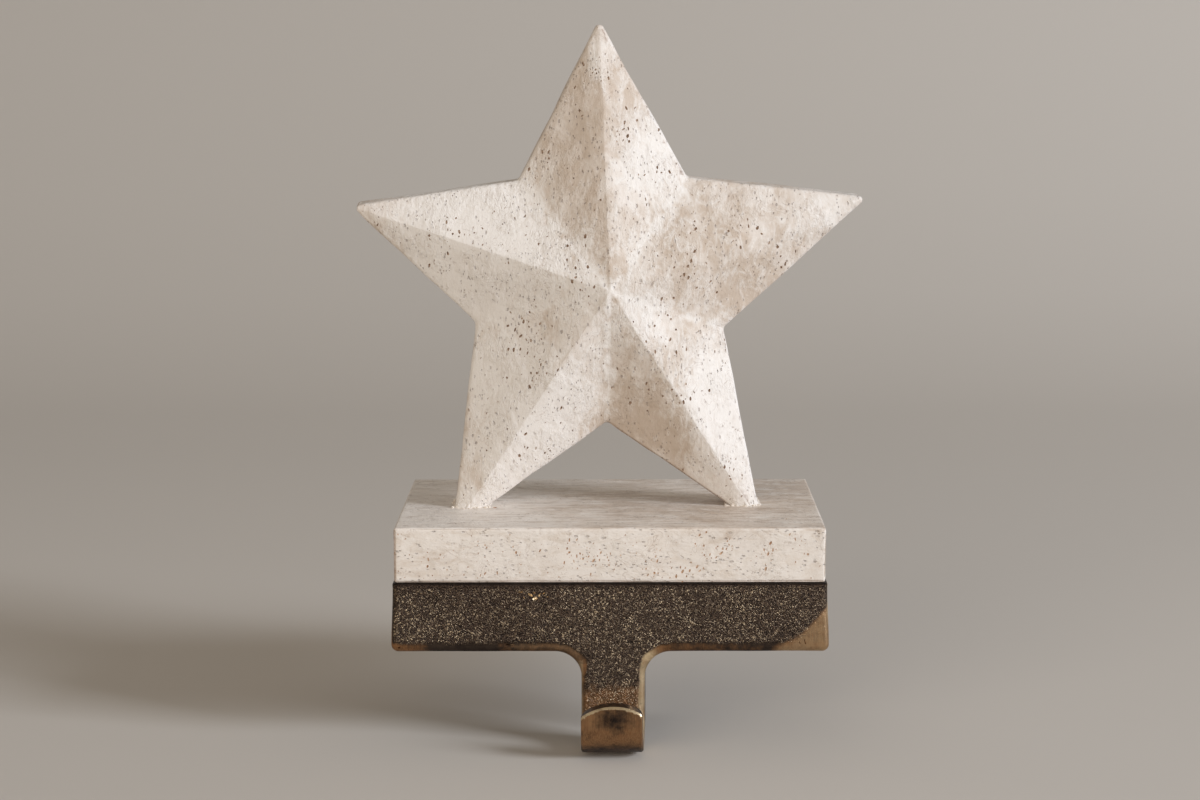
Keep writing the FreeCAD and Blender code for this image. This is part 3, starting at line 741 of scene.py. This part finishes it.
class HOLDER_OT_slab(bpy.types.Operator):
    """Builds the sawn travertine slab, its pits, a darker foot and painted shade on its left edge
    """
    bl_idname = "holder.slab"
    bl_label = "Slab"

    def execute(self, context):
        settings = context.scene.holder_stone
        rng = random.Random(5)
        shape = worked_copy("base_slab", {"X": 3.0 * MM, "Y": 3.0 * MM, "Z": 1.6 * MM})
        low, high = (corner / MM for corner in map(Vector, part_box("base_slab")))
        for vert in shape.verts:
            place = vert.co / MM
            skin = min(place.x - low.x, high.x - place.x, place.y - low.y, high.y - place.y)
            if skin < 0.3 and low.z + 0.1 < place.z < high.z - 0.1:
                vert.co -= vert.normal * (0.18 + 0.22 * waver(place, 16, 3)) * MM
        stone = travertine("travertine_sawn", "X", ("E2D6C9", "CBBAA9", "EFE8E0", "A08977"), 0.6)
        wall = pit_wall("travertine_stained_pit_wall", "9A6E50", "E3C6AA")
        slab = finish_mesh(shape, "sawn_slab", [stone])

        def keep(place, normal):
            return low.z + 1.4 < place.z < high.z - 0.8 and abs(normal.z) < 0.3

        pits = cluster_pits(slab, rng, SLAB_CLUSTERS, settings.smallest_pit,
                            settings.largest_pit * 0.8)
        pits += scatter_pits(slab, rng, settings.slab_pits * 4, settings.smallest_pit,
                             settings.largest_pit * 0.7, keep)
        pits += [(Vector((across, depth, high.z)) * MM, Vector((0, 0, 1)), radius * MM)
                 for across, depth, radius in ((-41.4, -9.6, 0.9), (51.0, 20.0, 0.4),
                                               (-18.0, 6.0, 0.3), (62.0, -30.0, 0.3))]
        cut_pits(slab, pits, rng, Vector((0.3, 0.0, 1.0)), (0.4, 0.9), wall)

        # Painted shade down the left edge, and a darker line along the foot
        def rim(place, normal):
            foot = 0.6 * smooth_step(low.z + 1.3, low.z + 0.3, place.z + 0.3 * waver(place, 3))
            left = smooth_step(low.x + 1.3, low.x + 0.3, place.x) * 0.8
            return max(foot, left) if place.z < high.z - 0.6 else 0.0

        def pale(place, normal):
            on_top = 0.3 + 0.6 * smooth_step(5, -45, place.x)
            return soft_spots(SLAB_CLOUDS, 0.45, place) if normal.z < 0.7 else on_top

        paint(slab, pale=pale, rim=rim,
              sawn=lambda place, normal: smooth_step(0.5, 0.9, normal.z))
        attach(slab, "root")
        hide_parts("base_slab")
        return {"FINISHED"}


# Filler round the feet

# Middle of a foot, to the side and in depth, and how far apart the crumbs lie
FOOT_ACROSS, FOOT_DEPTH = 0.049, -0.002
CRUMB_GAP = 0.28 * MM


class HOLDER_OT_filler(bpy.types.Operator):
    """Presses crumbs of pale filler round the star's feet"""
    bl_idname = "holder.filler"
    bl_label = "Foot filler"

    def execute(self, context):
        rng = random.Random(21)
        section = cad_copy("star")
        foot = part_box("star")[0][2]
        cut_height = foot + 0.4 * MM
        found = slice_flat(section, (0, 0, cut_height), (0, 0, 1))
        shape = bmesh.new()
        for edge in found:
            if not isinstance(edge, bmesh.types.BMEdge):
                continue
            first, second = (vert.co for vert in edge.verts)
            middle = Vector((math.copysign(FOOT_ACROSS, first.x), FOOT_DEPTH, cut_height))
            for step in range(max(1, int((second - first).length / CRUMB_GAP))):
                if rng.random() < 0.4 + 0.9 * waver(first / MM, 3, 4):
                    continue
                place = first.lerp(second, rng.random())
                outward = (place - middle).normalized()
                size = rng.uniform(0.15, 0.3 + 0.4 * rng.random() ** 3) * MM
                place = place + outward * rng.uniform(-0.1, 1.4 * rng.random()) * MM
                place.z = foot + size * rng.uniform(0.0, 0.5)
                matrix = Matrix.Translation(place) @ Matrix.Diagonal(
                    (size * rng.uniform(0.8, 1.8), size * rng.uniform(0.8, 1.6), size, 1.0))
                add_lump(shape, matrix, 0.6 * MM, size * 0.35)
        section.free()
        filler = finish_mesh(shape, "foot_filler", [stone_filler()])
        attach(filler, "root")
        return {"FINISHED"}


# Cast bracket

# Places on the casting in millimetres. The front of the lip's edge is bright, partly as a painted
# highlight, as far back as LIP_SCORE, and fades within LIP_LINE.
BRACKET_LOW, BRACKET_HIGH = (Vector(corner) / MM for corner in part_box("hook_bracket"))
APRON_FACE = -46.0
APRON_TOP = 6.5
LIP_SCORE = -65.1
LIP_LINE = 0.3
LIP_FOOT = -40.0
APRON_FOOT = -18.1
STEM_LEFT, STEM_RIGHT = -10.05, 12.45
FILLET = 9.0
FILED_HEIGHT = 3.4

# How much patina is left on the filed strip along the apron's foot, as (x, patina)
STRIP_PATINA = (
    (-76, 0.20), (-67, 0.42), (-60, 0.95), (-42, 0.92), (-35, 0.60), (-14, 0.50), (16, 0.10),
    (22, 0.55), (44, 0.66), (58, 0.85), (63, 0.25), (76, 0.0),
)

# How rubbed the skin is and how thick its painted glints lie, as (x, z, reach, strength)
RUBBED_GLINTS = (
    (-70, -6, 9, 0.55), (-8, -7, 22, 0.35), (50, -6, 26, 0.30),
    (1, -34, 6, 1), (-66, -15, 14, 0.30), (16, 0, 18, 0.2),
    (1, -24, 8, 0.4),
)


def along_strip(across):
    """Patina on the filed strip, between the two listed places on either side."""
    for (left, first), (right, second) in zip(STRIP_PATINA, STRIP_PATINA[1:]):
        if across <= right:
            return first + (second - first) * smooth_step(left, right, across)
    return STRIP_PATINA[-1][1]


def inside_filed_edge(place):
    """Distance in mm from the filed outline of the apron and stem, measured on their face."""
    right = place.x > (STEM_LEFT + STEM_RIGHT) / 2
    across = STEM_RIGHT + FILLET - place.x if right else place.x - STEM_LEFT + FILLET
    above = place.z - APRON_FOOT + FILLET
    if across <= 0:
        return above - FILLET
    return (across if above <= 0 else math.hypot(across, above)) - FILLET


def filed_width(place):
    """Width in mm of the filed strip: broad under the apron, narrow down the stem."""
    stem = 2.3 if place.x > 0 else 1.2
    return stem + (FILED_HEIGHT - stem) * smooth_step(APRON_FOOT - 9.0, APRON_FOOT - 1.0, place.z)


def on_lip(place):
    """Whether a place is on the hook, in front of the stem."""
    return place.y < APRON_FACE - 9.0


def worn_corner(place):
    """1 in the corner at the lower right, where handling has polished the brass."""
    reach = max(place.x - 55.0, 0.0) / 19.0
    edge = APRON_FOOT + 1.8 + 12.5 * reach ** 2.1
    worn = smooth_step(2.6, -2.2, place.z - edge + 0.9 * waver(place, 5, 5))
    return worn * smooth_step(54, 60, place.x)


def cast_skin(place, normal):
    """1 where the sand-cast skin is left, 0 where it is filed or brushed away."""
    if on_lip(place):
        return 0.10
    width = filed_width(place)
    ragged = 0.7 * waver(place, 5, 2)
    skin = smooth_step(width - 0.5, width + 0.4, inside_filed_edge(place) + ragged)
    ends = min(place.x - BRACKET_LOW.x, BRACKET_HIGH.x - place.x)
    skin *= smooth_step(0.5, 1.5, ends) * smooth_step(APRON_TOP - 0.1, APRON_TOP - 0.7, place.z)
    return skin * (1.0 - 0.8 * worn_corner(place))


def patina_left(place, normal):
    """1 under full patina, 0 on bare worn metal; on the lip also a painted dark reflection."""
    if on_lip(place):
        if place.y < LIP_SCORE and normal.z > 0.2 and place.z > LIP_FOOT:
            return 0.0
        behind = 0.6 * smooth_step(LIP_FOOT - 4.0, LIP_FOOT, place.z)
        if place.y < LIP_SCORE:
            behind = 0.0
        # A darker patch below the lip's top, and a painted dark reflection towards its foot
        dark_patch = math.exp(-((place.x - 1.8) / 7.4) ** 2 - ((place.z + 36.0) / 5.4) ** 2)
        dark_reflection = smooth_step(-43, -49, place.z)
        return max(behind, 0.08 + 0.66 * dark_patch + 0.62 * dark_reflection + 0.12 * waver(place, 5))
    if place.y > APRON_FACE + 3.0:
        return 0.9
    width = filed_width(place)
    ragged = 0.7 * waver(place, 5, 2)
    strip = smooth_step(width - 0.7, width + 0.7, inside_filed_edge(place) + ragged)
    if place.z < APRON_FOOT - 4.0:
        thin = 0.5 * smooth_step(-26.5, -33.5, place.z + 2.0 * ragged)
        return 0.3 + strip * (0.65 - thin)
    level = strip + (1.0 - strip) * along_strip(place.x)
    ends = smooth_step(0.3, 1.5, BRACKET_HIGH.x - place.x + 0.3 * ragged)
    ends *= smooth_step(0.2, 0.9, place.x - BRACKET_LOW.x)
    return level * ends * (1.0 - worn_corner(place))


def polish_left(place, normal):
    """1 on bright lines where hands and the file rubbed longest, and painted highlights on lit
    edges.
    """
    if on_lip(place):
        # The front edge of the lip: filed bright, and partly a painted highlight
        front_line = normal.z > 0.2 and place.z > LIP_FOOT and place.y < LIP_SCORE
        return 1.0 if front_line else 0.06
    if place.y > APRON_FACE + 3.5:
        return 0.0
    uneven = 0.75 + 0.4 * waver(place, 4, 11)
    corner = 0.28 * worn_corner(place)
    if place.z < APRON_FOOT - 3.0:
        # Painted highlight down the stem's right edge, which faces the light; a fainter line on the
        # left
        right = smooth_step(STEM_RIGHT - 3.0, STEM_RIGHT - 2.0, place.x)
        left = 0.45 * smooth_step(STEM_LEFT + 1.0, STEM_LEFT + 0.3, place.x)
        return max(right * uneven, left)
    # Painted highlights on the right fillet and down the right end, which face the light
    flare = math.exp(-((place.x - 13.4) / 2.7) ** 2 - ((place.z + 19.6) / 2.6) ** 2)
    end = smooth_step(1.5, 0.7, BRACKET_HIGH.x - place.x) * smooth_step(-12, -4, place.z)
    strip = 0.22 * smooth_step(-38, -32, place.x) * smooth_step(-8, -12, place.x)
    return max(1.3 * flare, 0.9 * end, strip * uneven, corner)


def rubbed_glint_skin(place, normal):
    """Painted glints on the wrinkles, and rubbing: hardly at the top of the apron, most on the
    stem.
    """
    if on_lip(place):
        return 0.0
    level = soft_spots(RUBBED_GLINTS, 0.44 + 0.14 * waver(place, 14, 1), place)
    return level * smooth_step(APRON_TOP - 0.5, APRON_TOP - 1.9, place.z)


# Knocks and flaws in the casting, as (x, z, half length, half width, turn) in mm and radians
BRIGHT_NICKS = [
    (-27.6, 2.6, 1.1, 0.34, 0.5), (-26, 1.3, 1, 0.55, -0.2), (-24.4, 2.5, 0.8, 0.26, -1.2),
    (-26.3, 3.3, 0.6, 0.20, -0.3), (-29.8, 1.6, 0.5, 0.16, 0.9), (-30.9, 3.6, 0.9, 0.16, 0.1),
    (-22.9, 3.1, 0.6, 0.18, -0.5), (-21.6, 1.9, 0.4, 0.16, 0.7),
]
DARK_NICKS = [
    (-23, -0.6, 1.6, 0.35, 0.25), (-35, -15.2, 1.7, 0.32, 0.1), (-33.4, -13.9, 0.9, 0.25, 0),
    (67.8, -14.2, 1.1, 0.22, 1.3), (66, -14.6, 0.5, 0.18, 1.2), (8, -44.6, 0.9, 0.20, 0.05),
    (10.2, -45.7, 0.6, 0.16, 0.3), (-73.4, -16.2, 0.4, 0.35, 0),
]


def nick_cutter(nicks, material):
    """Squashed balls sunk a little way into the apron or the hook, to be cut out of them."""
    shape = bmesh.new()
    for across, up, length, width, turn in nicks:
        face = BRACKET_LOW.y if up < LIP_FOOT else APRON_FACE
        matrix = (Matrix.Translation(Vector((across, face + 0.2, up)) * MM)
                  @ Matrix.Rotation(turn, 4, "Y")
                  @ Matrix.Diagonal((length * MM, 0.55 * MM, width * MM, 1.0)))
        add_lump(shape, matrix, 0.6 * MM, width * 0.5 * MM, 2)
    return finish_mesh(shape, "nick_cutter", [material])


class HOLDER_OT_bracket(bpy.types.Operator):
    """Builds the cast brass bracket, with its wrinkled skin, filed edges and nicks"""
    bl_idname = "holder.bracket"
    bl_label = "Hook bracket"

    def execute(self, context):
        settings = context.scene.holder_brass
        shape = worked_copy("hook_bracket", dict.fromkeys("XZ", settings.working_grid),
                            (LIP_SCORE + LIP_LINE, APRON_FACE + 1.2, APRON_FACE + 2.4))
        for vert in shape.verts:
            place = vert.co / MM
            in_front = smooth_step(APRON_FACE + 5.0, APRON_FACE + 2.0, place.y)
            fall = 0.5 + 0.4 * waver(place, 13, 4) + 0.15 * waver(place, 3.5, 7)
            if in_front > 0 and place.z < APRON_TOP - 1.5:
                vert.co -= vert.normal * settings.cast_unevenness * fall * in_front
            # The ends of the casting lean in a little towards the top
            lean = smooth_step(APRON_FOOT, APRON_TOP - 0.5, place.z)
            lean *= smooth_step(68, 75, abs(place.x))
            vert.co.x -= math.copysign(settings.end_lean, place.x) * lean
        brass = antique_brass()
        bracket = finish_mesh(shape, "cast_bracket", [brass])
        cut(bracket, nick_cutter(BRIGHT_NICKS, nicked_brass()), bpy.data.materials["brass_nicked"])
        cut(bracket, nick_cutter(DARK_NICKS, brass), brass)
        paint(bracket, cast=cast_skin, patina=patina_left, rubbed=rubbed_glint_skin,
              polish=polish_left)
        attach(bracket, "root")
        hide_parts("hook_bracket")
        return {"FINISHED"}


# Fasteners and dowels keep their CAD shapes

class HOLDER_OT_fasteners(bpy.types.Operator):
    """Finishes the dowels, screws and inserts as turned metal"""
    bl_idname = "holder.fasteners"
    bl_label = "Fasteners"

    def execute(self, context):
        steel = turned_metal("carbon_steel_turned", "8C8D90", "C9CACC")
        brass = turned_metal("free_cutting_brass_turned", "A8834A", "E0BE7E")
        for side in ("left", "right"):
            for node, metal in (("star_pin", steel), ("slab_screw", steel),
                                ("slab_insert", brass)):
                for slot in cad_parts[f"{node}_{side}"].material_slots:
                    slot.material = metal
        return {"FINISHED"}


# Felt pad

class HOLDER_OT_pad(bpy.types.Operator):
    """Cuts the felt pad, with its soft edges"""
    bl_idname = "holder.pad"
    bl_label = "Felt pad"

    def execute(self, context):
        shape = worked_copy("mantel_pad", dict.fromkeys("XY", 3.0 * MM))
        low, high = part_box("mantel_pad")
        for vert in shape.verts:
            place = vert.co / MM
            edge = min(vert.co.x - low[0], high[0] - vert.co.x,
                       vert.co.y - low[1], high[1] - vert.co.y)
            pull = 0.3 * (0.5 + 0.5 * waver(place, 4)) * MM
            if edge < 0.1 * MM:
                vert.co.x -= math.copysign(pull, vert.co.x)
                vert.co.y -= math.copysign(pull, vert.co.y)
        pad = finish_mesh(shape, "felt_pad", [pressed_felt(context.scene.holder_felt.colour)])
        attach(pad, "root")
        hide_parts("mantel_pad")
        return {"FINISHED"}


# Studio

# The camera's place in metres and its turns in degrees, fitted to the slab's corners
CAMERA_PLACE = (0.00119, -0.85998, 0.20101)
CAMERA_YAW, CAMERA_PITCH, CAMERA_ROLL = (math.radians(angle) for angle in (0.313, 9.075, 0.147))

# Half width of the floor in metres, and how steeply its far part curves up
FLOOR_REACH, SWEEP_CURVE = 4.0, 0.9


def softbox(name, place, target, width, height, watts, colour):
    """A soft rectangular light that faces a place."""
    light = bpy.data.lights.new(name, "AREA")
    light.shape = "RECTANGLE"
    light.size, light.size_y = width, height
    light.energy = watts
    light.color = linear(colour)[:3]
    lamp = bpy.data.objects.new(name, light)
    bpy.context.scene.collection.objects.link(lamp)
    lamp.location = place
    lamp.rotation_euler = (Vector(target) - Vector(place)).to_track_quat("-Z", "Y").to_euler()


class HOLDER_OT_studio(bpy.types.Operator):
    """Sets up the floor, the soft lights and the camera"""
    bl_idname = "holder.studio"
    bl_label = "Studio"

    def execute(self, context):
        settings = context.scene.holder_studio
        floor_level = CAD_BOX[0][2] - settings.floor_gap
        shape = bmesh.new()
        bmesh.ops.create_grid(shape, x_segments=1, y_segments=60, size=FLOOR_REACH,
                              matrix=Matrix.Translation((0, 0, floor_level)))
        for vert in shape.verts:
            vert.co.z += max(vert.co.y - settings.sweep_start, 0.0) ** 2 * SWEEP_CURVE
        material, tree, surface, _ = new_material("painted_board_sweep")
        fill(tree, surface, {"Base Color": tuple(settings.floor_colour) + (1.0,),
                             "Roughness": 0.85})
        floor = finish_mesh(shape, "studio_floor", [material])

        world = bpy.data.worlds.new("studio_air")
        world.use_nodes = True
        air = world.node_tree.nodes["Background"].inputs
        air["Color"].default_value = linear("FAF0E3")
        air["Strength"].default_value = settings.air
        context.scene.world = world

        middle = (0.0, 0.0, 0.08)
        softbox("key_right", (2.56, -1.17, 1.1), middle, 0.9, 0.9, settings.key, "EDF4FF")
        softbox("fill_left", (-0.95, -1.7, 0.6), middle, 1.4, 0.8, settings.fill, "FAEFE1")
        context.scene.view_settings.view_transform = "Standard"

        camera = bpy.data.cameras.new("photo_camera")
        camera.lens = settings.lens
        camera.sensor_width = 36.0
        view = bpy.data.objects.new("photo_camera", camera)
        context.scene.collection.objects.link(view)
        turn = (Matrix.Rotation(CAMERA_YAW, 4, "Z")
                @ Matrix.Rotation(math.pi / 2 - CAMERA_PITCH, 4, "X")
                @ Matrix.Rotation(-CAMERA_ROLL, 4, "Z"))
        view.matrix_world = Matrix.Translation(CAMERA_PLACE) @ turn
        context.scene.camera = view
        return {"FINISHED"}


# Panel and registration

PIECES = (
    HOLDER_OT_star, HOLDER_OT_slab, HOLDER_OT_filler, HOLDER_OT_bracket,
    HOLDER_OT_fasteners, HOLDER_OT_pad, HOLDER_OT_studio,
)
SETTINGS = {
    "holder_stone": StoneSettings,
    "holder_brass": BrassSettings,
    "holder_felt": FeltSettings,
    "holder_studio": StudioSettings,
}


class HOLDER_PT_panel(bpy.types.Panel):
    """Lists the holder's pieces and their settings"""
    bl_idname = "HOLDER_PT_panel"
    bl_label = "Stocking Holder"
    bl_space_type = "VIEW_3D"
    bl_region_type = "UI"
    bl_category = "Holder"

    def draw(self, context):
        for name, group in SETTINGS.items():
            box = self.layout.box()
            for prop in group.__annotations__:
                box.prop(getattr(context.scene, name), prop)
        for piece in PIECES:
            self.layout.operator(piece.bl_idname)


def register():
    for group in (*SETTINGS.values(), *PIECES, HOLDER_PT_panel):
        bpy.utils.register_class(group)
    for name, group in SETTINGS.items():
        setattr(bpy.types.Scene, name, PointerProperty(type=group))


def unregister():
    for name in SETTINGS:
        delattr(bpy.types.Scene, name)
    for group in reversed((*SETTINGS.values(), *PIECES, HOLDER_PT_panel)):
        bpy.utils.unregister_class(group)


def main():
    register()
    for piece in PIECES:
        group, name = piece.bl_idname.split(".")
        getattr(getattr(bpy.ops, group), name)()


if __name__ == "__main__":
    main()
